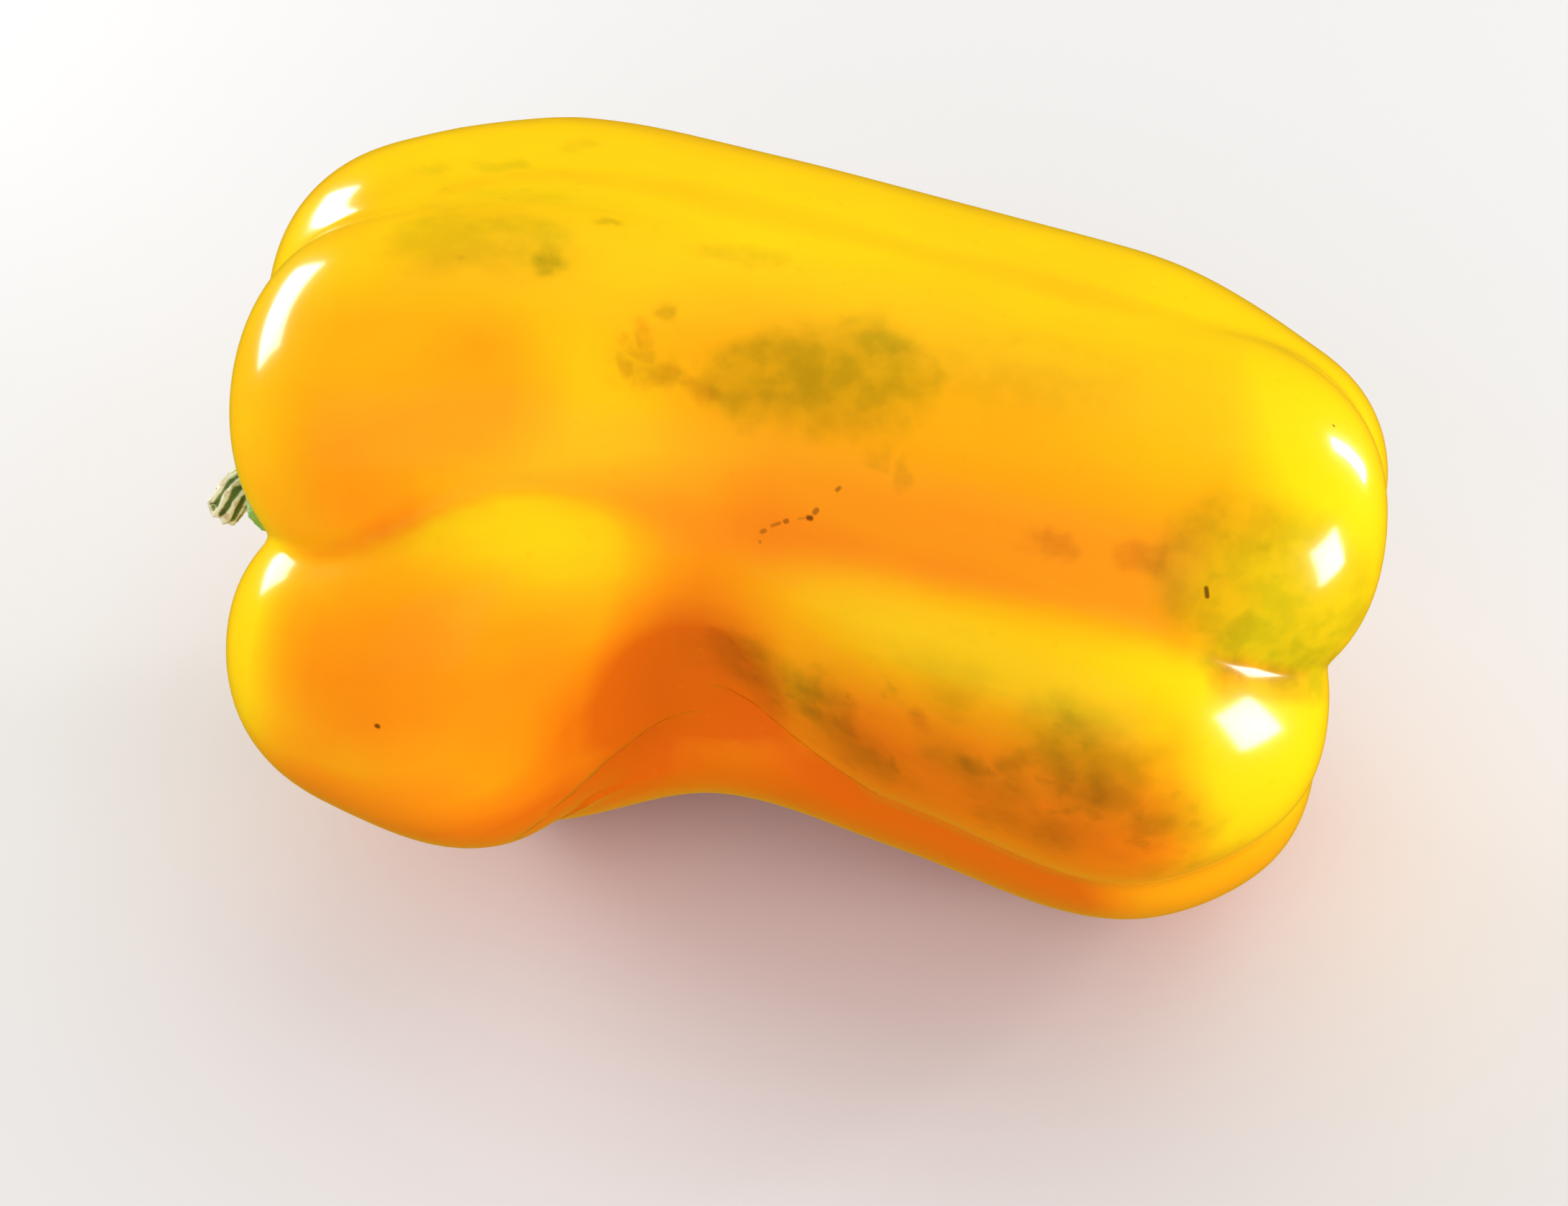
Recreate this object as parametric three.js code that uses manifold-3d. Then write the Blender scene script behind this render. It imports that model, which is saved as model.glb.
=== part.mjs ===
// A long yellow bell pepper lying on its side, as picked: one lobed fruit, and its green stem grown together
// with the calyx that caps the fruit's stem end.
// Millimetres, +Z up, +X from the stem end to the blossom end, -Y the side with the pinched waist.
// The origin is on the resting surface, under the middle of the whole part.

import * as THREE from "three";
import Module from "manifold-3d";

const wasm = await Module();
wasm.setup();

// The fruit. Distances along it are measured from the middle of its length, towards the blossom end.
const creaseRound = 1.6; // how widely the skin rounds over the bottom of a crease between lobes
const restDepth = 0.5; // how much the weight flattens each of the three low points it rests on

// At six stations along the fruit, the axis is at these places across it.
const stations = [-60, -38, -12, 15, 40, 62];
const axis = { back: [-6, 0, 5, 0, -5, -4], up: [0, 0, 1, 0, -1, 0] };

// Five lobes run the length of the fruit, and it rests on the two feet. At each station a lobe has the angle
// of its crest, in degrees from straight up towards -Y, its distance from the axis, half its width and half
// its depth. Its ends are round, at stemEnd and blossomEnd, over the lengths stemCap and blossomCap.
const lobes = {
  top: {
    angle: [6, 5, 10, 12, 14, 18],
    crest: [47, 48, 42, 42, 42, 40],
    width: [26, 29, 31, 30, 28, 25],
    depth: [24, 30, 32, 30, 28, 23],
    stemEnd: -75.4,
    stemCap: 26,
    blossomEnd: 72,
    blossomCap: 30,
  },
  front: {
    angle: [101, 97, 86, 84, 88, 97],
    crest: [44, 51, 43, 42, 44, 42],
    width: [24.5, 31, 25, 24, 24, 21],
    depth: [22, 27, 24, 22, 22, 22],
    stemEnd: -75,
    stemCap: 29,
    blossomEnd: 67.5,
    blossomCap: 29,
  },
  frontFoot: {
    angle: [176, 161, 147, 152, 156, 149],
    crest: [38, 46.7, 43, 44, 46, 44],
    width: [28, 27.5, 22, 25, 28, 25],
    depth: [22, 25, 22, 23, 26, 22],
    stemEnd: -69,
    stemCap: 26,
    blossomEnd: 68.5,
    blossomCap: 24,
  },
  backFoot: {
    angle: [-138, -140, -142, -142, -140, -138],
    crest: [40, 44, 50, 49, 43, 39],
    width: [27, 28, 29, 29, 28, 26],
    depth: [24, 27, 28, 28, 26, 23],
    stemEnd: -72,
    stemCap: 28,
    blossomEnd: 70,
    blossomCap: 28,
  },
  back: {
    angle: [-58, -62, -64, -64, -62, -58],
    crest: [54, 55, 47.5, 46.3, 45.5, 37],
    width: [32, 32, 32, 32, 30, 28],
    depth: [26, 31, 30, 28, 26, 23],
    stemEnd: -79,
    stemCap: 32,
    blossomEnd: 74,
    blossomCap: 34,
  },
};
const bluntness = 2.4; // of the lobes' ends, where 2 would make them elliptical

// The waist's hollow, pressed into the front lobe only.
const hollow = { middle: -16, halfLength: 17, angle: 90, halfAngle: 26, depth: 10 };

// The flesh that fills the middle, between the lobes.
const core = { radius: 26, length: 118, round: 18 };

// The pits at the two ends, as egg shapes cut out around the axis. The calyx sits in the first.
const stemPit = { middle: -80, halfLength: 21, radius: 16 };
const blossomPit = { middle: 76, halfLength: 17, radius: 8 };
const pitRound = 10; // how widely the skin rounds over a pit's brim

// How finely the skin is divided. Between its two creases each lobe has the same number of columns, closer
// together by the creases.
const lobeColumns = 15;
const bodyRings = 22;
const capRings = 20;
const fanReach = 44; // beyond this distance from the middle the rings fan out round the ends
const pitSlant = 42; // within this angle of the axis the columns run straight into the pits
const crowding = 0.1;

// The calyx: a cap of leafy points draped over the stem end. Reaches are angles from the axis at fanReach.
const calyx = { points: 6, firstTurn: 58, innerReach: 26, pointReach: 43, middle: 3, rim: 1.7, sunk: 1 };
const calyxColumns = 72;
const calyxRings = 9;

// The stem grows out of the calyx, bends down, and ends in a ragged cut.
const stemPath = [
  [-83.8, -5.6, -3.2],
  [-79.8, -3.8, 1.7],
  [-70, -4, 3],
  [-54, -6, 0],
];
const stemRadius = 2.2;
const cutFlare = 0.2; // more radius at the cut end
const baseFlare = 3.6; // and at the calyx
const ribs = 9;
const ribHeight = 0.4;
const ragged = 0.7; // how unevenly the cut end is torn
const ribColumns = 6;
const stemRings = 18;
const gap = 0.5; // between the calyx and the fruit
const seed = 11;

const skin = new THREE.MeshStandardMaterial({ color: 0xf2a800, roughness: 0.28, metalness: 0 });
const green = new THREE.MeshStandardMaterial({ color: 0x6e8545, roughness: 0.6, metalness: 0 });

// A smooth curve through values given at the stations, at the distance x.
function along(values, x) {
  const last = stations.length - 1;
  if (x <= stations[0]) return values[0];
  if (x >= stations[last]) return values[last];
  let i = 0;
  while (x > stations[i + 1]) i += 1;
  const before = values[Math.max(i - 1, 0)];
  const after = values[Math.min(i + 2, last)];
  const t = (x - stations[i]) / (stations[i + 1] - stations[i]);
  const startSlope = (values[i + 1] - before) / 2;
  const endSlope = (after - values[i]) / 2;
  return (
    values[i] * (1 + t * t * (2 * t - 3)) +
    values[i + 1] * t * t * (3 - 2 * t) +
    startSlope * t * (1 - t) * (1 - t) -
    endSlope * t * t * (1 - t)
  );
}

// The axis of the fruit at the distance x.
function axisAt(x) {
  return new THREE.Vector3(x, along(axis.back, x), along(axis.up, x));
}

// One where a round-ended body is full, falling to 0 at its end, and negative beyond.
function fullness(x, stemEnd, stemCap, blossomEnd, blossomCap) {
  const intoStem = (stemEnd + stemCap - x) / stemCap;
  const intoBlossom = (x - blossomEnd + blossomCap) / blossomCap;
  const into = Math.max(intoStem, intoBlossom, 0);
  return into < 1 ? (1 - into ** bluntness) ** (1 / bluntness) : 1 - into;
}

// The smaller of two distances, blended where they are nearly equal.
function blend(a, b, round) {
  const near = Math.max(round - Math.abs(a - b), 0) / round;
  return Math.min(a, b) - (near * near * round) / 4;
}

// About the distance of a point from one lobe's skin, negative inside.
function lobeDistance(lobe, point) {
  const y = point.y - along(axis.back, point.x);
  const z = point.z - along(axis.up, point.x);
  const angle = THREE.MathUtils.degToRad(along(lobe.angle, point.x));
  const width = along(lobe.width, point.x);
  const depth = along(lobe.depth, point.x);
  const outwards = z * Math.cos(angle) - y * Math.sin(angle) - along(lobe.crest, point.x) + depth;
  const sideways = z * Math.sin(angle) + y * Math.cos(angle);
  const full = fullness(point.x, lobe.stemEnd, lobe.stemCap, lobe.blossomEnd, lobe.blossomCap);
  const level = (Math.hypot(outwards / depth, sideways / width) - full) * Math.min(width, depth);
  return lobe === lobes.front ? level + pressed(point.x, Math.atan2(-y, z)) : level;
}

// About the distance of a point from a pit's wall, negative inside the pit.
function pitDistance(pit, x, fromAxis) {
  const level = Math.hypot((x - pit.middle) / pit.halfLength, fromAxis / pit.radius) - 1;
  return level * Math.min(pit.halfLength, pit.radius);
}

// About the distance of a point from the skin, negative inside.
function distance(point) {
  const fromAxis = Math.hypot(point.y - along(axis.back, point.x), point.z - along(axis.up, point.x));
  const coreFull = fullness(point.x, -core.length / 2, core.round, core.length / 2, core.round);
  let result = fromAxis - core.radius * coreFull;
  for (const lobe of Object.values(lobes)) {
    result = blend(result, lobeDistance(lobe, point), creaseRound);
  }
  for (const pit of [stemPit, blossomPit]) {
    result = -blend(-result, pitDistance(pit, point.x, fromAxis), pitRound);
  }
  return result;
}

// How far the hollow presses a point of the front lobe in, where turn is the point's angle round the axis.
function pressed(x, turn) {
  const lengthwise = (x - hollow.middle) / hollow.halfLength;
  const round = (THREE.MathUtils.radToDeg(turn) - hollow.angle) / hollow.halfAngle;
  return hollow.depth * Math.exp(-lengthwise * lengthwise - round * round);
}

// The direction straight out of the skin at a point of it.
function outOfSkin(point) {
  const step = 0.05;
  const slope = (x, y, z) => {
    const away = new THREE.Vector3(x, y, z).multiplyScalar(step);
    return distance(point.clone().add(away)) - distance(point.clone().sub(away));
  };
  return new THREE.Vector3(slope(1, 0, 0), slope(0, 1, 0), slope(0, 0, 1)).normalize();
}

// The point of the skin that a ray from the axis meets. Slant is the ray's angle from +X and turn its angle
// round the axis from straight up towards -Y. With a lift the point is that much above the skin.
function skinPoint(from, slant, turn, lift = 0) {
  const direction = new THREE.Vector3(
    Math.cos(slant),
    -Math.sin(slant) * Math.sin(turn),
    Math.sin(slant) * Math.cos(turn),
  );
  const origin = axisAt(from);
  const step = 1;
  const halvings = 12;
  const point = new THREE.Vector3();
  let near = 0;
  while (distance(point.copy(origin).addScaledVector(direction, near + step)) < 0) near += step;
  let far = near + step;
  for (let i = 0; i < halvings; i += 1) {
    const middle = (near + far) / 2;
    if (distance(point.copy(origin).addScaledVector(direction, middle)) < 0) near = middle;
    else far = middle;
  }
  point.copy(origin).addScaledVector(direction, near);
  return lift === 0 ? point : point.addScaledVector(outOfSkin(point), lift);
}

// The turn of the crease between two neighbouring lobes, for rays of one slant from one place on the axis.
function creaseTurn(from, slant, lobe, next) {
  const halvings = 14;
  let before = THREE.MathUtils.degToRad(along(lobe.angle, from));
  let after = THREE.MathUtils.degToRad(along(next.angle, from));
  if (after < before) after += 2 * Math.PI;
  for (let i = 0; i < halvings; i += 1) {
    const middle = (before + after) / 2;
    const point = skinPoint(from, slant, middle);
    if (lobeDistance(lobe, point) < lobeDistance(next, point)) before = middle;
    else after = middle;
  }
  return (before + after) / 2;
}

// The turns of one ring's points, with a point on each crease.
function ringTurns(from, slant) {
  const inOrder = [lobes.back, lobes.top, lobes.front, lobes.frontFoot, lobes.backFoot];
  const count = inOrder.length;
  const least = THREE.MathUtils.degToRad(pitSlant);
  const outside = THREE.MathUtils.clamp(slant, least, Math.PI - least);
  const creases = inOrder.map((lobe, i) => creaseTurn(from, outside, lobe, inOrder[(i + 1) % count]));
  return creases.flatMap((crease, i) => {
    let span = creases[(i + 1) % count] - crease;
    while (span < 0) span += 2 * Math.PI;
    return Array.from({ length: lobeColumns }, (_, c) => {
      const share = c / lobeColumns;
      return crease + span * (share - crowding * Math.sin(2 * Math.PI * share));
    });
  });
}

// Every ring of the skin from the stem end to the blossom end, as where its rays start and their slant.
function skinRings() {
  const rings = [];
  for (let i = 1; i < capRings; i += 1) rings.push([-fanReach, Math.PI * (1 - i / capRings / 2)]);
  for (let i = 0; i <= bodyRings; i += 1) rings.push([fanReach * ((2 * i) / bodyRings - 1), Math.PI / 2]);
  for (let i = capRings - 1; i > 0; i -= 1) rings.push([fanReach, (Math.PI * i) / capRings / 2]);
  return rings;
}

// A closed surface through rings of points and a point at each end.
function closedSurface(first, rings, last) {
  const positions = [first, ...rings.flat(), last].flatMap((p) => p.toArray());
  const index = [];
  const count = rings[0].length;
  const at = (ring, column) => 1 + ring * count + (column % count);
  for (let c = 0; c < count; c += 1) {
    index.push(0, at(0, c + 1), at(0, c));
    for (let r = 0; r + 1 < rings.length; r += 1) {
      index.push(at(r, c), at(r + 1, c + 1), at(r + 1, c));
      index.push(at(r, c), at(r, c + 1), at(r + 1, c + 1));
    }
    index.push(at(rings.length - 1, c), at(rings.length - 1, c + 1), 1 + rings.length * count);
  }
  const geometry = new THREE.BufferGeometry();
  geometry.setAttribute("position", new THREE.Float32BufferAttribute(positions, 3));
  geometry.setIndex(index);
  return geometry;
}

function fruitSurface(lift) {
  const rings = skinRings().map(([from, slant]) => {
    return ringTurns(from, slant).map((turn) => skinPoint(from, slant, turn, lift));
  });
  return closedSurface(skinPoint(-fanReach, Math.PI, 0, lift), rings, skinPoint(fanReach, 0, 0, lift));
}

// The calyx, from its middle out over its top to the rim and back underneath, sunk into the fruit.
function calyxSurface() {
  const turns = Array.from({ length: calyxColumns }, (_, c) => (2 * Math.PI * c) / calyxColumns);
  const first = THREE.MathUtils.degToRad(calyx.firstTurn);
  const ringAt = (share, liftAt) =>
    turns.map((turn) => {
      const point = Math.abs(Math.cos((calyx.points * (turn - first)) / 2)) ** 3;
      const reach = THREE.MathUtils.lerp(calyx.innerReach, calyx.pointReach, point);
      return skinPoint(-fanReach, Math.PI - THREE.MathUtils.degToRad(reach * share), turn, liftAt(share));
    });
  const shares = Array.from({ length: calyxRings }, (_, i) => (i + 1) / calyxRings);
  const top = (share) => THREE.MathUtils.lerp(calyx.middle, calyx.rim, share);
  const under = () => -calyx.sunk;
  const rings = [
    ...shares.map((share) => ringAt(share, top)),
    ...shares.toReversed().map((share) => ringAt(share, under)),
  ];
  return closedSurface(
    skinPoint(-fanReach, Math.PI, 0, top(0)),
    rings,
    skinPoint(-fanReach, Math.PI, 0, under()),
  );
}

// The ribbed stem, from its ragged cut end to its foot inside the fruit.
function stemSurface() {
  const path = new THREE.CatmullRomCurve3(stemPath.map((p) => new THREE.Vector3(...p)));
  const count = ribs * ribColumns;
  const rings = [];
  for (let r = 0; r <= stemRings; r += 1) {
    const share = r / stemRings;
    const middle = path.getPointAt(share);
    const ahead = path.getTangentAt(share);
    const side = ahead.clone().cross(new THREE.Vector3(0, 0, 1)).normalize();
    const up = side.clone().cross(ahead);
    const flare = cutFlare * (1 - share) ** 6 + baseFlare * share ** 3;
    const ring = [];
    for (let c = 0; c < count; c += 1) {
      const turn = (2 * Math.PI * c) / count;
      const radius = stemRadius + flare + ribHeight * Math.cos(ribs * turn);
      const torn = r === 0 ? ragged * (torn01(c) - 0.5) : 0;
      ring.push(
        middle
          .clone()
          .addScaledVector(up, radius * Math.cos(turn))
          .addScaledVector(side, radius * Math.sin(turn))
          .addScaledVector(ahead, torn),
      );
    }
    rings.push(ring);
  }
  return closedSurface(path.getPointAt(0.03), rings, path.getPointAt(1));
}

// A number from 0 to 1 for the column c, the same every time.
function torn01(c) {
  const value = Math.sin((c + 1) * 12.9898 + seed) * 43758.5453;
  return value - Math.floor(value);
}

// A manifold solid from a closed surface.
function solid(surface) {
  const vertProperties = new Float32Array(surface.getAttribute("position").array);
  const triVerts = new Uint32Array(surface.getIndex().array);
  return new wasm.Manifold(new wasm.Mesh({ numProp: 3, vertProperties, triVerts }));
}

function meshOf(name, body, material) {
  const { vertProperties, triVerts } = body.getMesh();
  const geometry = new THREE.BufferGeometry();
  geometry.setAttribute("position", new THREE.BufferAttribute(vertProperties, 3));
  geometry.setIndex(new THREE.BufferAttribute(triVerts, 1));
  const mesh = new THREE.Mesh(geometry, material);
  mesh.name = name;
  return mesh;
}

const whole = solid(fruitSurface(0));
const restingHeight = whole.boundingBox().min[2] + restDepth;
const fruitBody = whole.trimByPlane([0, 0, 1], restingHeight);
const stemBody = solid(calyxSurface())
  .add(solid(stemSurface()))
  .subtract(solid(fruitSurface(gap)))
  .asOriginal()
  .simplify(0.02)
  .decompose()
  .reduce((largest, body) => (body.volume() > largest.volume() ? body : largest));

const pepper = new THREE.Group();
pepper.add(meshOf("fruit", fruitBody, skin), meshOf("stem", stemBody, green));

// The origin goes on the resting surface, under the middle of the whole part.
const box = new THREE.Box3().setFromObject(pepper);
const middle = box.getCenter(new THREE.Vector3());
for (const mesh of pepper.children) mesh.geometry.translate(-middle.x, -middle.y, -box.min.z);

export default pepper;
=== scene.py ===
import math
import bpy
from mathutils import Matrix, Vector, kdtree, noise


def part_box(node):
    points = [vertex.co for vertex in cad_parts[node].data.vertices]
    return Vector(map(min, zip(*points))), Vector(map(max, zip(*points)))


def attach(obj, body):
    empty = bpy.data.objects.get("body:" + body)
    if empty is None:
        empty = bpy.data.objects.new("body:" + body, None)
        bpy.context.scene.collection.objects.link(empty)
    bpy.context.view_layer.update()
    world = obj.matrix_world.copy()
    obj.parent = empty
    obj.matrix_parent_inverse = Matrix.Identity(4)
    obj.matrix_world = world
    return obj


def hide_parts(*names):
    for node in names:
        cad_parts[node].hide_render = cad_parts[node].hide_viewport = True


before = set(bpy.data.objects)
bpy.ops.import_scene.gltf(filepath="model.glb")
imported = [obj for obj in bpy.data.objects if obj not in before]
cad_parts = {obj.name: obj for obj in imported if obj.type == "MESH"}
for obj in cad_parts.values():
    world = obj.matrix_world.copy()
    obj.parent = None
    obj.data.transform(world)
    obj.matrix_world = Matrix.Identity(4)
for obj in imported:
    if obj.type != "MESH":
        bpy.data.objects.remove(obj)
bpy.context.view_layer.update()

mm = 0.001
fruitLow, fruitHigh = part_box("fruit")
fruitMiddle = (fruitLow + fruitHigh) / 2


# Small helpers

def deselectAll():
    for thing in bpy.context.selected_objects:
        thing.select_set(False)


def makeActive(thing):
    deselectAll()
    thing.select_set(True)
    bpy.context.view_layer.objects.active = thing


def mergedCopy(node, name):
    # A CAD node's mesh is loose triangles, so the copy is merged before anything else
    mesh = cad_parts[node].data.copy()
    mesh.materials.clear()
    copy = bpy.data.objects.new(name, mesh)
    bpy.context.scene.collection.objects.link(copy)
    makeActive(copy)
    bpy.ops.object.mode_set(mode="EDIT")
    bpy.ops.mesh.select_all(action="SELECT")
    bpy.ops.mesh.remove_doubles(threshold=0.01 * mm)
    bpy.ops.object.mode_set(mode="OBJECT")
    return copy


def addModifier(thing, kind, **settings):
    makeActive(thing)
    modifier = thing.modifiers.new(kind.title(), kind)
    for name, value in settings.items():
        setattr(modifier, name, value)
    bpy.ops.object.modifier_apply(modifier=modifier.name)


def writeAttribute(thing, name, values):
    attribute = thing.data.attributes.new(name, "FLOAT", "POINT")
    for item, value in zip(attribute.data, values):
        item.value = value


def smoothStep(low, high, value):
    share = min(max((value - low) / (high - low), 0), 1)
    return share * share * (3 - 2 * share)


def hollowness(thing, rounds, deepest):
    # From -1 on a ridge to 1 in a furrow, by how far smoothing lifts or sinks each point
    smoothed = thing.copy()
    smoothed.data = thing.data.copy()
    bpy.context.scene.collection.objects.link(smoothed)
    addModifier(smoothed, "SMOOTH", factor=0.5, iterations=rounds)
    values = []
    for before, after in zip(thing.data.vertices, smoothed.data.vertices):
        lift = (after.co - before.co).dot(before.normal)
        values.append(min(max(lift / deepest, -1), 1))
    mesh = smoothed.data
    bpy.data.objects.remove(smoothed)
    bpy.data.meshes.remove(mesh)
    return values


# Node helpers

class NodeTree:
    # Adds nodes to a tree, and sets or links their inputs by name or number
    def __init__(self, tree):
        self.tree = tree

    def add(self, kind, inputs=(), **settings):
        node = self.tree.nodes.new(kind)
        for name, value in settings.items():
            setattr(node, name, value)
        for key, value in dict(inputs).items():
            self.feed(node.inputs[key], value)
        return node

    def feed(self, socket, value):
        if isinstance(value, bpy.types.NodeSocket):
            self.tree.links.new(value, socket)
        else:
            socket.default_value = value

    def maths(self, operation, first, second=0.0, clamp=False):
        node = self.add("ShaderNodeMath", {0: first, 1: second}, operation=operation, use_clamp=clamp)
        return node.outputs[0]

    def addShare(self, value, share, base=0.0, middle=0.0):
        # The value's distance from a middle, times a share, on top of a base
        if middle:
            value = self.maths("SUBTRACT", value, middle)
        return self.maths("ADD", base, self.maths("MULTIPLY", value, share))

    def scaled(self, vector, share):
        node = self.add("ShaderNodeVectorMath", {0: vector, "Scale": share}, operation="SCALE")
        return node.outputs[0]

    def vector(self, operation, first, second=(0, 0, 0), output=0):
        node = self.add("ShaderNodeVectorMath", {0: first, 1: second}, operation=operation)
        return node.outputs[output]

    def between(self, low, high, value):
        # 0 at low and below, 1 at high and above, smooth between
        node = self.add("ShaderNodeMapRange", {"Value": value, "From Min": low, "From Max": high},
                        interpolation_type="SMOOTHSTEP")
        return node.outputs["Result"]

    def noise(self, place, scale, detail=2.0, output="Fac"):
        node = self.add("ShaderNodeTexNoise", {"Vector": place, "Scale": scale, "Detail": detail})
        return node.outputs[output]

    def mixColour(self, share, first, second, blend="MIX"):
        node = self.add("ShaderNodeMix", {0: share, 6: first, 7: second}, data_type="RGBA", blend_type=blend)
        return node.outputs[2]

    def ramp(self, share, stops):
        node = self.add("ShaderNodeValToRGB", {"Fac": share})
        elements = node.color_ramp.elements
        while len(elements) < len(stops):
            elements.new(0.5)
        for element, (place, colour) in zip(elements, stops):
            element.position = place
            element.color = (*colour, 1)
        return node.outputs["Color"]


def newMaterial(name):
    material = bpy.data.materials.new(name)
    material.use_nodes = True
    material.node_tree.nodes.clear()
    return material, NodeTree(material.node_tree)


leastSquare = 1e-9  # square metres, so that a mark with no length doesn't divide by 0
edgeFalloff = 1.4  # above 1, a mark's soft edge fades sooner


def patchGroup():
    # A soft spot or streak on the skin: its strength within its width of the line between its ends, and
    # from there down to 0 over its edge
    group = bpy.data.node_groups.new("skinPatch", "ShaderNodeTree")
    for name in ("Place", "From", "Along"):
        group.interface.new_socket(name, in_out="INPUT", socket_type="NodeSocketVector")
    for name in ("Width", "Edge", "Strength"):
        group.interface.new_socket(name, in_out="INPUT", socket_type="NodeSocketFloat")
    group.interface.new_socket("Mask", in_out="OUTPUT", socket_type="NodeSocketFloat")
    tree = NodeTree(group)
    given = tree.add("NodeGroupInput").outputs
    result = tree.add("NodeGroupOutput")
    out = tree.vector("SUBTRACT", given["Place"], given["From"])
    reach = tree.vector("DOT_PRODUCT", out, given["Along"], "Value")
    whole = tree.vector("DOT_PRODUCT", given["Along"], given["Along"], "Value")
    share = tree.maths("DIVIDE", reach, tree.maths("MAXIMUM", whole, leastSquare), clamp=True)
    nearest = tree.scaled(given["Along"], share)
    away = tree.vector("LENGTH", tree.vector("SUBTRACT", out, nearest), output="Value")
    outside = tree.maths("SUBTRACT", away, given["Width"])
    mask = tree.between(1, 0, tree.maths("DIVIDE", outside, given["Edge"]))
    mask = tree.maths("POWER", mask, edgeFalloff)
    tree.feed(result.inputs["Mask"], tree.maths("MULTIPLY", mask, given["Strength"]))
    return group


# Camera, light and floor

camera = {
    "azimuth": 8,  # degrees from the front, towards the blossom end
    "elevation": 45,
    "distance": 330,  # mm
    "aim": (-2, -9.35, -8.4),  # mm from the middle of the fruit's box
    "lens": 55.66,  # mm, on the sensor's width
    "sensor": 36,  # mm
    "nearest": 0.01,  # metres, where the view begins
}


def directionTo(azimuth, elevation):
    turn = math.radians(azimuth)
    rise = math.radians(elevation)
    return Vector((math.sin(turn) * math.cos(rise), -math.cos(turn) * math.cos(rise), math.sin(rise)))


def placeCamera():
    target = fruitMiddle + Vector(camera["aim"]) * mm
    view = directionTo(camera["azimuth"], camera["elevation"])
    data = bpy.data.cameras.new("camera")
    data.lens = camera["lens"]
    data.sensor_width = camera["sensor"]
    data.clip_start = camera["nearest"]
    eye = bpy.data.objects.new("camera", data)
    eye.location = target + view * camera["distance"] * mm
    eye.rotation_euler = view.to_track_quat("Z", "Y").to_euler()
    bpy.context.scene.collection.objects.link(eye)
    bpy.context.scene.camera = eye


lamps = {
    # azimuth and elevation in degrees, away, wide and high in metres, power in watts
    "leftWindow": {"azimuth": -116, "elevation": 14, "away": 0.75, "wide": 0.46, "high": 0.24, "power": 3.5},
    "rightWindow": {"azimuth": 77, "elevation": 5, "away": 0.75, "wide": 0.22, "high": 0.24, "power": 2.8},
    "farWindow": {"azimuth": 121, "elevation": 10, "away": 0.8, "wide": 0.08, "high": 0.34, "power": 2},
    "ceiling": {"azimuth": 160, "elevation": 60, "away": 1.1, "wide": 1.2, "high": 1.0, "power": 3.2},
    "fill": {"azimuth": -10, "elevation": 28, "away": 1.1, "wide": 1.4, "high": 0.8, "power": 4.2},
}
mirrored = ("leftWindow", "rightWindow", "farWindow")  # the skin mirrors only the windows


def placeLamps():
    for name, lamp in lamps.items():
        data = bpy.data.lights.new(name, "AREA")
        data.shape = "RECTANGLE"
        data.size = lamp["wide"]
        data.size_y = lamp["high"]
        data.energy = lamp["power"]
        direction = directionTo(lamp["azimuth"], lamp["elevation"])
        light = bpy.data.objects.new(name, data)
        light.location = fruitMiddle + direction * lamp["away"]
        light.rotation_euler = direction.to_track_quat("Z", "Y").to_euler()
        light.visible_glossy = name in mirrored
        bpy.context.scene.collection.objects.link(light)


studio = {
    "floorSize": 6,  # metres
    "floorClouds": 3,  # the scale of the paper's faint clouds
    "floorDark": (0.66, 0.65, 0.635),
    "floorLight": (0.70, 0.69, 0.675),
    "floorRoughness": 0.9,
    "light": (0.95, 0.97, 1),
    "lightStrength": 0.74,
    "room": (1, 0.60, 0.03),  # what the skin mirrors between the windows
    "roomStrength": 0.5,
}


def placeFloor():
    deselectAll()
    bpy.ops.mesh.primitive_plane_add(size=studio["floorSize"], location=(0, 0, 0))
    floor = bpy.context.object
    floor.name = "floor"
    material, tree = newMaterial("palePaper")
    place = tree.add("ShaderNodeTexCoord").outputs["Object"]
    clouds = tree.noise(place, studio["floorClouds"])
    colour = tree.mixColour(clouds, (*studio["floorDark"], 1), (*studio["floorLight"], 1))
    shader = tree.add("ShaderNodeBsdfPrincipled", {
        "Base Color": colour,
        "Roughness": studio["floorRoughness"],
    })
    output = tree.add("ShaderNodeOutputMaterial")
    tree.feed(output.inputs["Surface"], shader.outputs[0])
    floor.data.materials.append(material)
    floor.visible_glossy = False


def makeWorld():
    # An even studio light. The skin mirrors it as a dim warm room, so that its edges don't go black.
    world = bpy.data.worlds.new("studio")
    world.use_nodes = True
    world.node_tree.nodes.clear()
    tree = NodeTree(world.node_tree)
    seen = {"Color": (*studio["light"], 1), "Strength": studio["lightStrength"]}
    even = tree.add("ShaderNodeBackground", seen)
    seen = {"Color": (*studio["room"], 1), "Strength": studio["roomStrength"]}
    room = tree.add("ShaderNodeBackground", seen)
    glossy = tree.add("ShaderNodeLightPath").outputs["Is Glossy Ray"]
    mix = tree.add("ShaderNodeMixShader", {0: glossy, 1: even.outputs[0], 2: room.outputs[0]})
    output = tree.add("ShaderNodeOutputWorld")
    tree.feed(output.inputs["Surface"], mix.outputs[0])
    bpy.context.scene.world = world


bpy.context.scene.view_settings.view_transform = "Standard"
placeCamera()
placeLamps()
placeFloor()
makeWorld()
print("stage: camera, lamps, floor and world")


# The fruit

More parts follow.
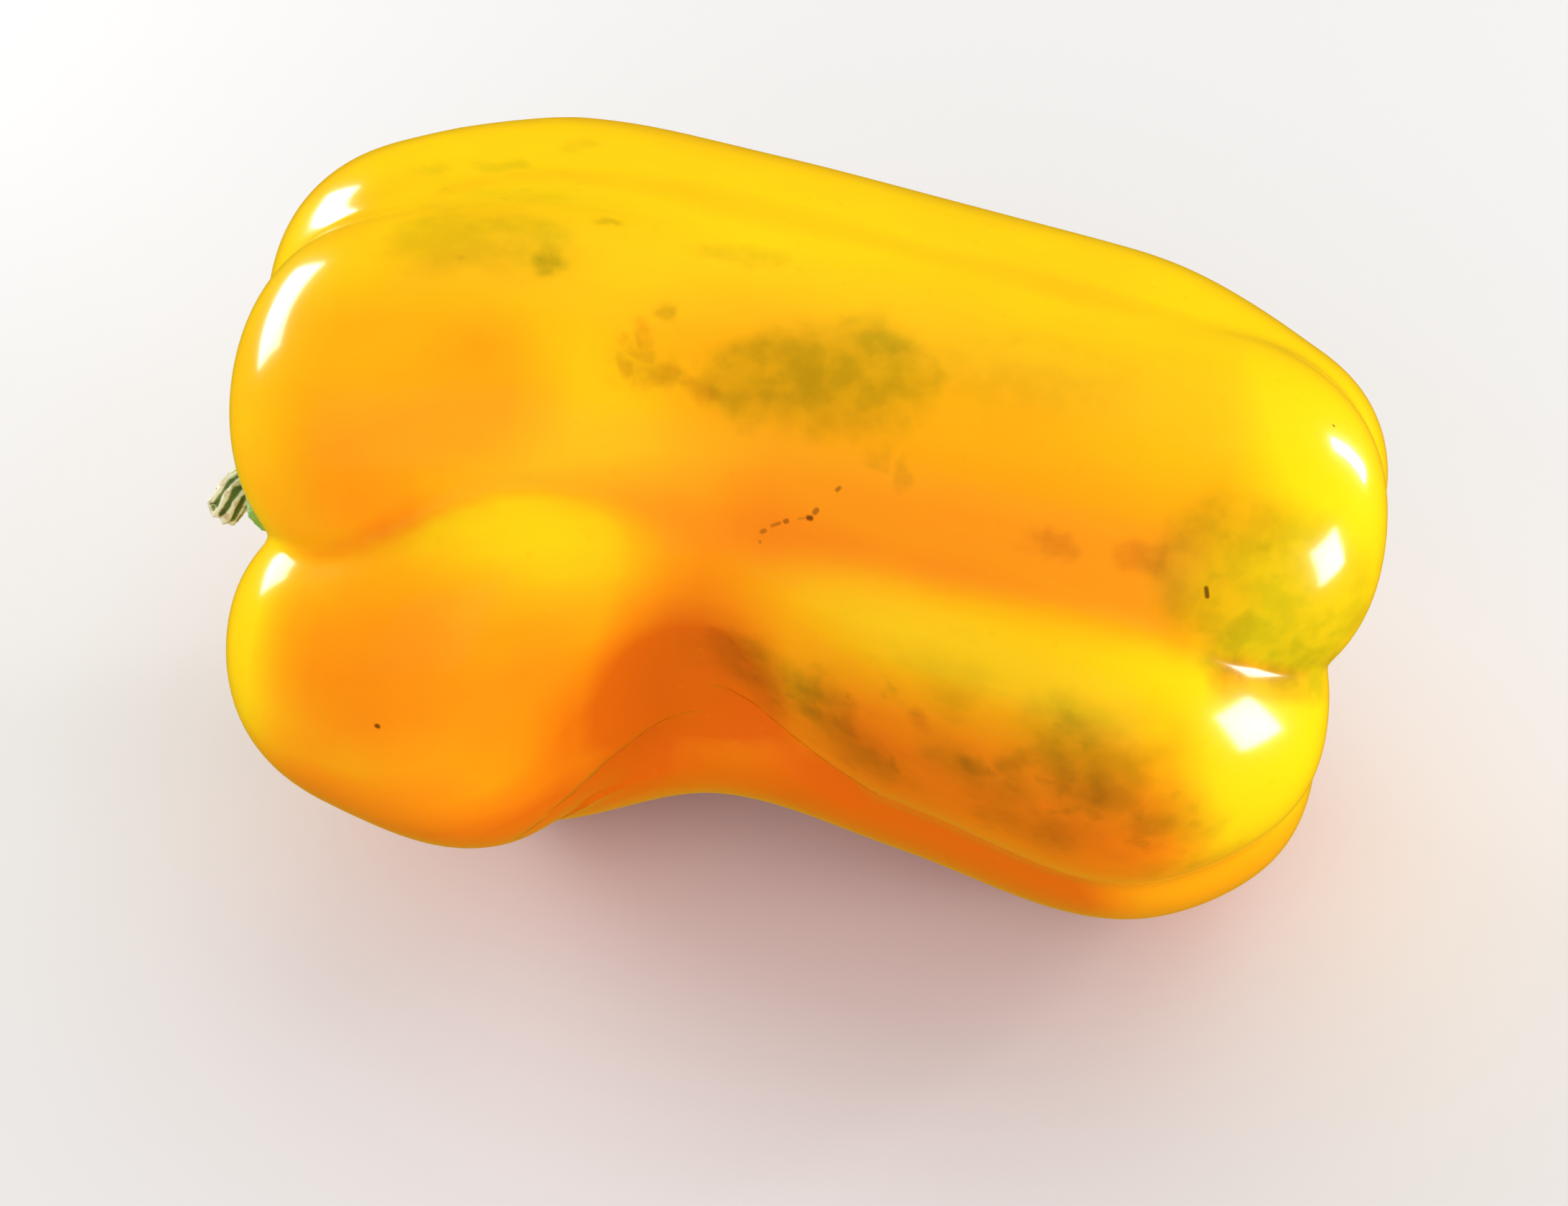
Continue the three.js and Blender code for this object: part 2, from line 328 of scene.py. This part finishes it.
fruit = {
    "levels": 2,  # of subdivision
    "furrowRounds": 60,  # of smoothing, to find the furrows
    "furrowDepth": 2.2,  # mm of lift that counts as the deepest furrow
    "quadAngle": 60,  # degrees, up to which two triangles are joined
    "shallowFrom": -50,  # mm along X, from where the furrow behind the crest is made shallower
    "shallowBehind": -2,  # mm along Y, from where it is looked for
    "shallowUpward": 0.25,  # the least that the skin there faces up
    "shallowLeast": 0.02,  # the least hollow that counts as furrow
    "shallowReach": (4, 14),  # mm from it, all smoothed to not at all
    "shallowRounds": 60,
    "areaFade": (0.3, 1.25),  # of an area's width, all of its strength to none
    # Soft areas of painted shade, where the skin is painted a deeper orange in the waist, the folds, under
    # the lobes and underneath, with some of its own riper orange: from and to in mm, how wide, and how
    # strong
    "ripeAndShadeAreas": {
        "shoulderFlank": ((-46, -31, 76), (-33, -25, 84), 10, 0.28),
        "upperFurrow": ((4, -27, 72), (54, -34, 72), 9, 0.20),
        "waist": ((-20, -36, 42), (-4, -30, 42), 14, 0.55),
        "waistRight": ((2, -34, 42), (12, -38, 38), 9, 0.35),
        "footStrip": ((-25, -40, 22), (35, -40, 20), 16, 0.75),
        "bulbUnder": ((-52, -42, 32), (-25, -46, 28), 13, 0.45),
        "bulbFace": ((-46, -46, 58), (-28, -44, 52), 14, 0.26),
        "frontFace": ((16, -41, 44), (48, -50, 44), 13, 0.46),
        # Painted shade in the fold at the blossom end
        "blossomFoldShade": ((60, -37, 60), (69, -31, 54), 4, 0.48),
        "underside": ((-35, -5, 4), (45, -5, 4), 30, 0.55),
    },
    # And painted light, where the skin is painted the clearest yellow on the lit ridge, shoulders, crest and
    # blossom end, with its own clearer yellow by the green end
    "clearAndLitAreas": {
        "saddleRidge": ((-34, -33, 71), (52, -42, 62), 8, 0.26),
        "upperShoulder": ((-58, -24, 74), (-20, -24, 80), 12, 0.16),
        "backCrest": ((-50, 22, 88), (60, 10, 84), 20, 0.10),
        "blossomEnd": ((74, -8, 72), (68, -38, 50), 20, 0.60),
        "stemShoulder": ((-66, 0, 76), (-66, -38, 46), 14, 0.45),
        "greenEnd": ((59, -33, 71), (70, -29, 60), 10, 0.42),
    },
    # The ripening left broad stains here, broken up into mottles
    "stains": {
        "front": ((16, -42, 50), (46, -49, 50), 15, 1.0),
        "waist": ((0, -32, 50), (12, -38, 46), 8, 1.0),
        "frontEnd": ((52, -49, 44), (58, -46, 38), 9, 0.7),
        "crest": ((0, -16, 83), (15, -15, 84), 8, 0.5),
        "cluster": ((-16, -16, 84), (-6, -18, 82), 5, 0.7),
        "blossomEnd": ((59, -32, 71), (70, -28, 60), 11, 0.6),
        "shoulder": ((-54, 0, 91), (-32, 4, 91), 17, 0.42),
        "back": ((-30, 44, 55), (30, 44, 50), 14, 0.5),
        "under": ((-10, 20, 8), (30, 15, 6), 12, 0.5),
    },
    # Painted shade: the orange is painted deeper on the near side and underneath, by the way the skin faces
    "nearSideShade": 0.25,  # how much deeper the orange is on the near side
    "nearShadeFull": 0.9,  # how far a point faces that way where it is deepest
    "lowSide": 0.25,  # and underneath
    "underShadeFull": 0.8,
}


def nearLine(place, start, end):
    start, end = Vector(start) * mm, Vector(end) * mm
    along = end - start
    share = min(max((place - start).dot(along) / along.dot(along), 0), 1)
    return (place - start - along * share).length


def areaStrength(place, areas):
    strongest = 0
    for start, end, width, strength in areas.values():
        inside = 1 - smoothStep(*fruit["areaFade"], nearLine(place, start, end) / (width * mm))
        strongest = max(strongest, strength * inside)
    return strongest


def ripeness(place, outwards):
    # From the clearest yellow to the deepest orange, as far as it follows the fruit's shape: painted shade
    # on the near side, underneath and in the shaded areas, painted light in the lit areas, and some of the
    # fruit's own ripeness
    near = fruit["nearSideShade"] * smoothStep(0, fruit["nearShadeFull"], -outwards.y)
    under = fruit["lowSide"] * smoothStep(0, fruit["underShadeFull"], -outwards.z)
    areaShadeAndRipe = areaStrength(place, fruit["ripeAndShadeAreas"])
    return near + under + areaShadeAndRipe - areaStrength(place, fruit["clearAndLitAreas"])


def shallowFurrow(piece, furrows):
    # The furrow behind the crest is made shallower, except by the stem
    vertices = piece.data.vertices
    line = []
    for vertex, furrow in zip(vertices, furrows):
        beyond = vertex.co.x > fruit["shallowFrom"] * mm and vertex.co.y > fruit["shallowBehind"] * mm
        if beyond and vertex.normal.z > fruit["shallowUpward"] and furrow > fruit["shallowLeast"]:
            line.append(vertex.co.copy())
    print("furrow behind the crest:", len(line), "points")
    tree = kdtree.KDTree(len(line))
    for index, place in enumerate(line):
        tree.insert(place, index)
    tree.balance()
    group = piece.vertex_groups.new(name="shallow")
    for vertex in vertices:
        away = tree.find(vertex.co)[2] / mm
        group.add([vertex.index], 1 - smoothStep(*fruit["shallowReach"], away), "REPLACE")
    addModifier(piece, "SMOOTH", factor=0.5, iterations=fruit["shallowRounds"], vertex_group="shallow")


# Creases cut into the skin where one lobe overhangs the next. The skin drops by the depth at the line and
# rises again over the reach on the line's low side. All in mm.
creases = {
    "bulbOverFoot": {
        "line": ((-31, -42, 19), (-24, -40.5, 26), (-18, -36, 31), (-12, -31.5, 34.5), (-5, -29, 37)),
        "lowSide": (0.6, 0, -0.8),
        "depth": 2.4,
        "reach": 10,
    },
    "lobeOverFoot": {
        "line": ((-7, -29.5, 42), (-0.5, -31, 40.5), (6, -34, 37.5), (12, -37, 35), (18, -38.5, 32)),
        "lowSide": (0, 0, -1),
        "depth": 2.6,
        "reach": 10,
    },
}
creaseLip = 1.3  # mm over which the skin rounds into a crease from above
creaseTaper = 0.3  # of its length, over which a crease fades at each end


def creaseDrop(place, crease):
    # How far a point sinks: most at the line, and less towards its two ends
    points = [Vector(point) for point in crease["line"]]
    last = len(points) - 1
    nearest = None
    for i, (start, end) in enumerate(zip(points, points[1:])):
        along = end - start
        share = min(max((place - start).dot(along) / along.dot(along), 0), 1)
        out = place - start - along * share
        if nearest is None or out.length < nearest[0].length:
            nearest = (out, (i + share) / last)
    out, progress = nearest
    if out.length > crease["reach"]:
        return 0
    side = out.dot(Vector(crease["lowSide"]))
    span = crease["reach"] if side > 0 else -creaseLip
    ends = smoothStep(0, creaseTaper, progress) * (1 - smoothStep(1 - creaseTaper, 1, progress))
    return crease["depth"] * ends * (1 - smoothStep(0, 1, side / span))


def carveCreases(piece):
    # Places and normals are all read before a point moves, because a move changes the normals around it
    vertices = piece.data.vertices
    places = [vertex.co / mm for vertex in vertices]
    normals = [vertex.normal.copy() for vertex in vertices]
    drops = {}
    for crease in creases.values():
        points = [Vector(point) for point in crease["line"]]
        low = [min(p[i] for p in points) - crease["reach"] for i in range(3)]
        high = [max(p[i] for p in points) + crease["reach"] for i in range(3)]
        for index, place in enumerate(places):
            if all(low[i] < place[i] < high[i] for i in range(3)):
                drops[index] = max(drops.get(index, 0), creaseDrop(place, crease))
    for index, drop in drops.items():
        vertices[index].co = (places[index] - normals[index] * drop) * mm


def makeFruit():
    piece = mergedCopy("fruit", "pepperFruit")
    bpy.ops.object.mode_set(mode="EDIT")
    bpy.ops.mesh.select_all(action="SELECT")
    angle = math.radians(fruit["quadAngle"])
    bpy.ops.mesh.tris_convert_to_quads(face_threshold=angle, shape_threshold=angle)
    bpy.ops.object.mode_set(mode="OBJECT")
    furrows = hollowness(piece, fruit["furrowRounds"], fruit["furrowDepth"] * mm)
    # The warm attribute holds painted shade and painted light, on top of the fruit's own ripeness
    warm = [ripeness(v.co, v.normal) for v in piece.data.vertices]
    stained = [areaStrength(v.co, fruit["stains"]) for v in piece.data.vertices]
    writeAttribute(piece, "furrow", furrows)
    writeAttribute(piece, "warm", warm)
    writeAttribute(piece, "stained", stained)
    shallowFurrow(piece, furrows)
    addModifier(piece, "SUBSURF", levels=fruit["levels"], render_levels=fruit["levels"])
    carveCreases(piece)
    makeActive(piece)
    bpy.ops.object.shade_smooth()
    return piece


# The marks that the ripening left on the skin. Each has a place in mm, where it runs to from there, its
# width, the width of its soft edge, and its strength.
greenMarks = {
    "crestBlotch": ((-1, -15, 83), (16, 1, 2), 3.8, 5.5, 0.9),
    "crestVeil": ((27, -13, 86), (10, 1, 0), 3.5, 8, 0.3),
    "crestBlotchTop": ((5, -11, 86), (6, 1, 1), 2.0, 5, 0.6),
    "crestBlotchLow": ((6, -19, 82), (8, 0, 0), 1.6, 4, 0.6),
    "shoulderBlotch": ((-43, -6, 93), (12, 1, 0), 2.6, 7, 0.45),
    "shoulderStreak": ((-49, 13, 90), (3, 0, 0), 0.4, 2.4, 0.4),
    "shoulderStreakTwo": ((-42, 14, 89), (5, 1, 0), 0.4, 2.4, 0.4),
    "shoulderStreakThree": ((-32, 22, 88), (3, 1, 0), 0.4, 2.4, 0.35),
    "crestStreak": ((-10, 2, 88), (9, 1, 0), 0.6, 3, 0.4),
    "endBlotch": ((58, -32, 73), (11, 4, -8), 6, 8, 0.7),
    "endBlotchLow": ((60, -35, 64), (11, 6, -8), 2.6, 4, 0.9),
    "waistBlotch": ((1, -31, 50), (8, -6, 0), 2.6, 5, 0.55),
    "waistBlotchLow": ((9, -37, 49), (6, -3, -5), 2.0, 4.5, 0.55),
    "frontBlotch": ((40, -47, 57), (6, -2, -5), 2.4, 6, 0.8),
    "frontBlotchLow": ((26, -44, 50), (8, -2, -3), 1.2, 5, 0.55),
    "frontBlotchEnd": ((52, -49, 48), (6, 2, -3), 1.2, 5, 0.55),
    "frontBlotchUnder": ((33, -47, 42), (7, -1, 0), 1.0, 5, 0.55),
}
darkMarks = {
    "shoulderSpot": ((-28.5, -7, 92), (0.8, 0, 0), 0.7, 2.2, 0.75),
    "shoulderTail": ((-26, -8, 91.5), (4, -1, 0), 0.1, 1.6, 0.4),
    "crestSpot": ((-13, -9, 87), (0.4, 0, 0), 0.5, 1.8, 0.6),
    "shoulderFleck": ((-23.5, 1, 91), (1.2, 0, 0), 0.2, 1.6, 0.5),
    "flankSpot": ((14.5, -23, 78), (0.6, 0, 0), 0.5, 1.6, 0.5),
    "flankSpotTwo": ((18, -25, 78), (1.2, 0, -1), 0.5, 1.8, 0.5),
    "waistMottle": ((8, -36, 51.5), (1.5, 0, 0), 0.5, 1.8, 0.5),
    "waistMottleTwo": ((11, -38, 47), (2, -1, 0), 0.4, 2, 0.5),
    "frontMottleTwo": ((29, -45, 50), (2, -1, 0.6), 0.5, 1.8, 0.5),
    "frontMottleThree": ((34, -46, 52.5), (2, 0, 0.6), 0.5, 1.9, 0.5),
    "frontMottleFour": ((42, -48, 51), (3, 0, -1), 0.8, 2.2, 0.5),
    "frontMottleFive": ((19, -42, 44.5), (0.6, 0, 0), 0.4, 1.4, 0.5),
}
brownMarks = {
    "shoulderBrown": ((-39, -9, 93), (0.4, 0, 0), 0.2, 1.2, 0.55),
    "clusterOne": ((-15.5, -12, 86), (0.4, -2.5, -1.6), 0.3, 1.7, 0.55),
    "clusterTwo": ((-17.5, -15, 85.5), (0.3, 0, 0), 0.2, 1.2, 0.55),
    "clusterThree": ((-17.5, -17, 84), (0.8, 0, 0), 0.4, 1.3, 0.55),
    "clusterFour": ((-15, -17, 83), (4, 0, 0), 0.5, 2.2, 0.55),
    "clusterFive": ((-8, -17, 82), (2, -1, -1), 0.3, 2, 0.55),
    "clusterSix": ((-16, -15, 85), (2, 0, 0), 0.2, 1.3, 0.55),
    "flankFleck": ((-3, -24, 74), (0.3, 0, 0), 0.3, 1.2, 0.55),
    "furrowMottle": ((34, -31, 74), (4, -0.5, 0), 0.4, 2.2, 0.55),
    "furrowMottleTwo": ((45, -32, 74), (4, 0, 0), 0.4, 2.2, 0.55),
    "waistFleck": ((-5, -30, 53), (1, 0, 0), 0.3, 1.3, 0.55),
    "frontMottle": ((22, -43, 54), (2, 0, 0), 0.3, 1.8, 0.55),
    "frontBrown": ((30, -45.5, 46), (3, 0, -1), 0.3, 2, 0.55),
    "frontBrownTwo": ((52, -49.5, 42), (3, 1, -1), 0.3, 2, 0.55),
    # Painted shade: a brown mark painted into the small pocket by the blossom fold
    "pocketShade": ((60, -36, 61.5), (1.4, 0, 0), 0.6, 2, 0.55),
}
pinMarks = {
    "pinOne": ((10, -25, 74), (0.6, -0.4, -0.8), 0.18, 0.3, 0.9),
    "pinTwo": ((7, -27, 71), (0.3, 0, 0), 0.2, 0.35, 0.9),
    "pinThree": ((1, -28, 68), (0.2, -0.2, -0.7), 0.15, 0.3, 0.9),
    "clusterPinOne": ((1.4, -27.2, 68.2), (0.3, 0, 0.2), 0.15, 0.35, 0.5),
    "clusterPinTwo": ((2.6, -26.9, 69.1), (0.9, 0, 0.5), 0.05, 0.35, 0.5),
    "clusterPinThree": ((4.2, -26.8, 69.9), (0.2, 0, 0.1), 0.15, 0.35, 0.6),
    "clusterPinFour": ((5.9, -26.7, 70.5), (0.6, 0, 0.2), 0.05, 0.3, 0.4),
    "clusterPinFive": ((7.8, -26.5, 71.6), (0.2, 0.1, 0.3), 0.2, 0.35, 0.6),
    "clusterPinSix": ((10.3, -25.3, 74.5), (0.3, 0.2, 0.2), 0.1, 0.35, 0.6),
    "pinFour": ((-43, -50, 51), (0.1, 0, 0), 0.2, 0.35, 0.9),
    "endMark": ((55, -33, 71.5), (0.2, -0.3, -1), 0.15, 0.3, 0.9),
    "endMarkTwo": ((57, -36, 64.5), (0.6, 0, 0), 0.15, 0.3, 0.9),
    "pinFive": ((68.8, -11, 80), (0.2, 0, -0.4), 0.12, 0.25, 0.9),
}
skin = {
    "clearYellow": (1.0, 0.62, 0.0),
    "yellow": (1.0, 0.42, 0.0),
    "orange": (0.97, 0.26, 0.0),
    "deepOrange": (0.82, 0.13, 0.0),
    "ripeness": 0.22,  # of the whole fruit, where 0 is the clearest yellow and 1 the deepest orange
    # What these marks leave of the colour under them
    "green": (0.54, 0.66, 0.5),
    "dark": (0.46, 0.58, 0.5),
    "brown": (0.62, 0.52, 0.4),
    "pin": (0.16, 0.08, 0.1),
    # How much each of these adds to the ripeness, and the scales of the noises. The furrows' share is
    # painted shade, a deeper orange in the furrows, and painted light, a clearer yellow on the ridges.
    "furrowShade": 0.30,
    "flattestRidge": -0.3,  # ridges sharper than this count as this
    "cloudScale": 28,
    "cloudShare": 0.30,
    "streakScale": (25, 120, 120),
    "streakShare": 0.10,
    # The stains' mottles and flecks: scales, and from where to where in the noise they show
    "grainScale": (90, 125, 125),
    "grainRange": (0.44, 0.74),
    "fleckScale": (230, 340, 340),
    "fleckRange": (0.54, 0.72),
    "fleckInGrain": (0.36, 0.56),
    "mottleShare": 0.55,
    "veilShare": 0.30,
    # The marks' edges
    "wanderScale": 140,
    "wander": 8,  # mm
    "unevenScale": 230,
    "unevenRange": (0.35, 0.65),
    "unevenLeast": 0.55,  # the least of its strength that a mark keeps
    "freckleScale": 260,
    "freckleRange": (0.16, 0.06),  # of the distance to the nearest freckle, none to all
    "freckleShare": 0.10,
    # The relief
    "waveScale": 90,
    "waveShare": 0.55,
    "poreScale": 1500,
    "poreShare": 0.02,
    "bump": 0.35,
    "bumpHeight": 0.5,  # mm
    "roughness": 0.17,  # where the clouds are darkest
    "cloudRoughness": 0.06,  # more where they are brightest
    "bending": 1.45,  # the index of refraction
    "sheen": 0.25,  # the strength of the broad gloss under the clear coat
    "coat": 0.8,
    "coatRoughness": 0.11,
    "subsurface": 0.12,
    "glow": (1.0, 0.35, 0.03),  # how far red, green and blue spread under the skin
    "glowDepth": 3.0,  # mm, for the farthest
}


def allMarks(tree, patch, place, marks):
    mask = 0.0
    for start, along, width, edge, strength in marks.values():
        node = tree.add("ShaderNodeGroup", node_tree=patch)
        tree.feed(node.inputs["Place"], place)
        tree.feed(node.inputs["From"], Vector(start) * mm)
        tree.feed(node.inputs["Along"], Vector(along) * mm)
        tree.feed(node.inputs["Width"], width * mm)
        tree.feed(node.inputs["Edge"], edge * mm)
        tree.feed(node.inputs["Strength"], strength)
        mask = tree.maths("MAXIMUM", mask, node.outputs["Mask"])
    return mask


def skinMaterial():
    material, tree = newMaterial("pepperSkin")
    patch = patchGroup()
    place = tree.add("ShaderNodeTexCoord").outputs["Object"]
    furrow = tree.add("ShaderNodeAttribute", attribute_name="furrow").outputs["Fac"]
    warm = tree.add("ShaderNodeAttribute", attribute_name="warm").outputs["Fac"]
    stained = tree.add("ShaderNodeAttribute", attribute_name="stained").outputs["Fac"]

    # Ripeness with painted shade and light: orange furrows are painted shade and yellow crests painted
    # light, with the fruit's own ripeness and soft clouds of both
    clouds = tree.noise(place, skin["cloudScale"], 3)
    streaks = tree.noise(tree.vector("MULTIPLY", place, skin["streakScale"]), 1, 2)
    toneWithShade = tree.maths("ADD", warm, skin["ripeness"])
    toneWithShade = tree.addShare(tree.maths("MAXIMUM", furrow, skin["flattestRidge"]), skin["furrowShade"], toneWithShade)
    toneWithShade = tree.addShare(clouds, skin["cloudShare"], toneWithShade, 0.5)
    toneWithShade = tree.addShare(streaks, skin["streakShare"], toneWithShade, 0.5)
    colour = tree.ramp(toneWithShade, [(0.0, skin["clearYellow"]), (0.30, skin["yellow"]),
                              (0.65, skin["orange"]), (1.0, skin["deepOrange"])])

    # The broad stains, in cloudy mottles that run along the fruit
    grain = tree.noise(tree.vector("MULTIPLY", place, skin["grainScale"]), 1, 4)
    flecks = tree.noise(tree.vector("MULTIPLY", place, skin["fleckScale"]), 1, 2)
    flecks = tree.between(*skin["fleckRange"], flecks)
    flecks = tree.maths("MULTIPLY", flecks, tree.between(*skin["fleckInGrain"], grain))
    mottles = tree.maths("MAXIMUM", tree.between(*skin["grainRange"], grain), flecks)
    mottles = tree.maths("MULTIPLY", mottles, stained)
    veil = tree.maths("MULTIPLY", stained, skin["veilShare"])
    stain = tree.maths("ADD", tree.maths("MULTIPLY", mottles, skin["mottleShare"]), veil)
    colour = tree.mixColour(stain, colour, (*skin["green"], 1), "MULTIPLY")

    # The marks' edges wander with a noise
    wander = tree.noise(place, skin["wanderScale"], 4, "Color")
    shift = tree.scaled(tree.vector("SUBTRACT", wander, (0.5, 0.5, 0.5)), skin["wander"] * mm)
    shaken = tree.vector("ADD", place, shift)
    uneven = tree.between(*skin["unevenRange"], tree.noise(place, skin["unevenScale"], 3))
    uneven = tree.addShare(uneven, 1 - skin["unevenLeast"], skin["unevenLeast"])
    for marks, tint in ((greenMarks, "green"), (darkMarks, "dark"), (brownMarks, "brown")):
        mask = tree.maths("MULTIPLY", allMarks(tree, patch, shaken, marks), uneven)
        colour = tree.mixColour(mask, colour, (*skin[tint], 1), "MULTIPLY")
    pins = allMarks(tree, patch, place, pinMarks)
    colour = tree.mixColour(pins, colour, (*skin["pin"], 1), "MULTIPLY")

    # Faint freckles all over
    freckles = tree.add("ShaderNodeTexVoronoi", {"Vector": place, "Scale": skin["freckleScale"]})
    freckles = tree.between(*skin["freckleRange"], freckles.outputs["Distance"])
    freckles = tree.maths("MULTIPLY", freckles, skin["freckleShare"])
    colour = tree.mixColour(freckles, colour, (*skin["orange"], 1))

    # A taut skin: broad shallow waves and a very fine grain
    height = tree.maths("MULTIPLY", tree.noise(place, skin["waveScale"], 2), skin["waveShare"])
    height = tree.addShare(tree.noise(place, skin["poreScale"], 2), skin["poreShare"], height)
    relief = {"Height": height, "Strength": skin["bump"], "Distance": skin["bumpHeight"] * mm}
    bump = tree.add("ShaderNodeBump", relief)
    roughness = tree.addShare(clouds, skin["cloudRoughness"], skin["roughness"])
    shader = tree.add("ShaderNodeBsdfPrincipled", {
        "Base Color": colour,
        "Roughness": roughness,
        "IOR": skin["bending"],
        "Specular IOR Level": skin["sheen"],
        "Normal": bump.outputs[0],
        "Subsurface Weight": skin["subsurface"],
        "Subsurface Radius": skin["glow"],
        "Subsurface Scale": skin["glowDepth"] * mm,
        "Coat Weight": skin["coat"],
        "Coat Roughness": skin["coatRoughness"],
    })
    output = tree.add("ShaderNodeOutputMaterial")
    tree.feed(output.inputs["Surface"], shader.outputs[0])
    return material


pepperFruit = makeFruit()
pepperFruit.data.materials.append(skinMaterial())
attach(pepperFruit, "root")
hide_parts("fruit")
print("fruit:", len(pepperFruit.data.polygons), "faces")


# The stem and calyx, grown together

stem = {
    "grain": 0.36,  # mm between points of the remeshed surface
    "ribRounds": 22,  # of smoothing, to find the ribs
    "ribHeight": 0.14,  # mm of lift that counts as a full rib or groove
    "cutEnd": (-79.5, -5.9, 43),  # mm, the middle of the cut end, which is dry and torn
    "shaft": (-0.60, -0.15, -0.78),  # the way that the stem points there
    "dryReach": (4, 12),  # mm from the cut end, all dry to all green
    "tear": 1.3,  # mm by which the torn fibres stick out or stop short
    "tearReach": (1.5, 5),  # mm from the cut end, all torn to whole
    "tearScale": 900,
    "dryLumps": 0.35,  # mm
    "dryLumpScale": 420,
    "lumps": 0.2,  # mm
    "lumpScale": 250,
    "cream": (0.74, 0.70, 0.48),
    "groove": (0.07, 0.13, 0.015),
    "beige": (0.62, 0.47, 0.28),
    "olive": (0.22, 0.27, 0.05),
    "paleGreen": (0.22, 0.42, 0.08),
    "green": (0.06, 0.27, 0.012),
    "deepGreen": (0.008, 0.055, 0.010),
    "cloudScale": 180,
    "fibreScale": (500, 1500, 700),
    "fibreShare": 0.35,  # of the ribs' pattern
    "paleRange": (0.5, 0.75),  # from where to where in the clouds the leaf is paler
    "paleShare": 0.4,
    "patchScale": 520,
    "patchRange": (0.50, 0.62),
    "patchShare": 0.7,
    "bump": 0.6,
    "bumpHeight": 0.3,  # mm
    "roughness": 0.5,
    "subsurface": 0.05,
    "glow": (0.4, 0.8, 0.2),
    "glowDepth": 1.0,  # mm
}


def makeStem():
    piece = mergedCopy("stem", "pepperStem")
    addModifier(piece, "REMESH", mode="VOXEL", voxel_size=stem["grain"] * mm)
    addModifier(piece, "SMOOTH", factor=0.5, iterations=2)
    cutEnd = Vector(stem["cutEnd"]) * mm
    shaft = Vector(stem["shaft"])
    moves = []
    dry = []
    for vertex in piece.data.vertices:
        away = (vertex.co - cutEnd).length / mm
        dry.append(1 - smoothStep(*stem["dryReach"], away))
        whole = smoothStep(*stem["tearReach"], away)
        torn = noise.noise(vertex.co * stem["tearScale"]) * stem["tear"] * (1 - whole)
        lump = noise.noise(vertex.co * stem["dryLumpScale"]) * stem["dryLumps"] * dry[-1]
        lump += noise.noise(vertex.co * stem["lumpScale"]) * stem["lumps"]
        moves.append((shaft * torn + vertex.normal * lump) * mm)
    for vertex, move in zip(piece.data.vertices, moves):
        vertex.co += move
    writeAttribute(piece, "furrow", hollowness(piece, stem["ribRounds"], stem["ribHeight"] * mm))
    writeAttribute(piece, "dry", dry)
    makeActive(piece)
    bpy.ops.object.shade_smooth()
    return piece


def stemMaterial():
    material, tree = newMaterial("pepperStemGreen")
    place = tree.add("ShaderNodeTexCoord").outputs["Object"]
    furrow = tree.add("ShaderNodeAttribute", attribute_name="furrow").outputs["Fac"]
    dry = tree.add("ShaderNodeAttribute", attribute_name="dry").outputs["Fac"]
    clouds = tree.noise(place, stem["cloudScale"], 3)
    fibres = tree.noise(tree.vector("MULTIPLY", place, stem["fibreScale"]), 1, 3)

    # From a groove to a rib, roughened by the fibres
    ridge = tree.maths("SUBTRACT", 0.5, tree.maths("MULTIPLY", furrow, 0.5))
    ridge = tree.addShare(fibres, stem["fibreShare"], ridge, 0.5)
    leafy = tree.ramp(ridge, [(0.2, stem["deepGreen"]), (0.55, stem["green"]), (1.0, stem["paleGreen"])])
    paler = tree.maths("MULTIPLY", tree.between(*stem["paleRange"], clouds), stem["paleShare"])
    leafy = tree.mixColour(paler, leafy, (*stem["paleGreen"], 1))
    pale = tree.ramp(ridge, [(0.2, stem["groove"]), (0.48, stem["olive"]), (0.68, stem["cream"])])
    patches = tree.between(*stem["patchRange"], tree.noise(place, stem["patchScale"], 2))
    patches = tree.maths("MULTIPLY", patches, stem["patchShare"])
    pale = tree.mixColour(patches, pale, (*stem["beige"], 1), "MULTIPLY")
    colour = tree.mixColour(dry, leafy, pale)
    height = tree.maths("ADD", fibres, tree.maths("MULTIPLY", clouds, 0.5))
    relief = {"Height": height, "Strength": stem["bump"], "Distance": stem["bumpHeight"] * mm}
    bump = tree.add("ShaderNodeBump", relief)
    shader = tree.add("ShaderNodeBsdfPrincipled", {
        "Base Color": colour,
        "Roughness": stem["roughness"],
        "Normal": bump.outputs[0],
        "Subsurface Weight": stem["subsurface"],
        "Subsurface Radius": stem["glow"],
        "Subsurface Scale": stem["glowDepth"] * mm,
    })
    output = tree.add("ShaderNodeOutputMaterial")
    tree.feed(output.inputs["Surface"], shader.outputs[0])
    return material


pepperStem = makeStem()
pepperStem.data.materials.append(stemMaterial())
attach(pepperStem, "root")
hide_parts("stem")
print("stem:", len(pepperStem.data.polygons), "faces")
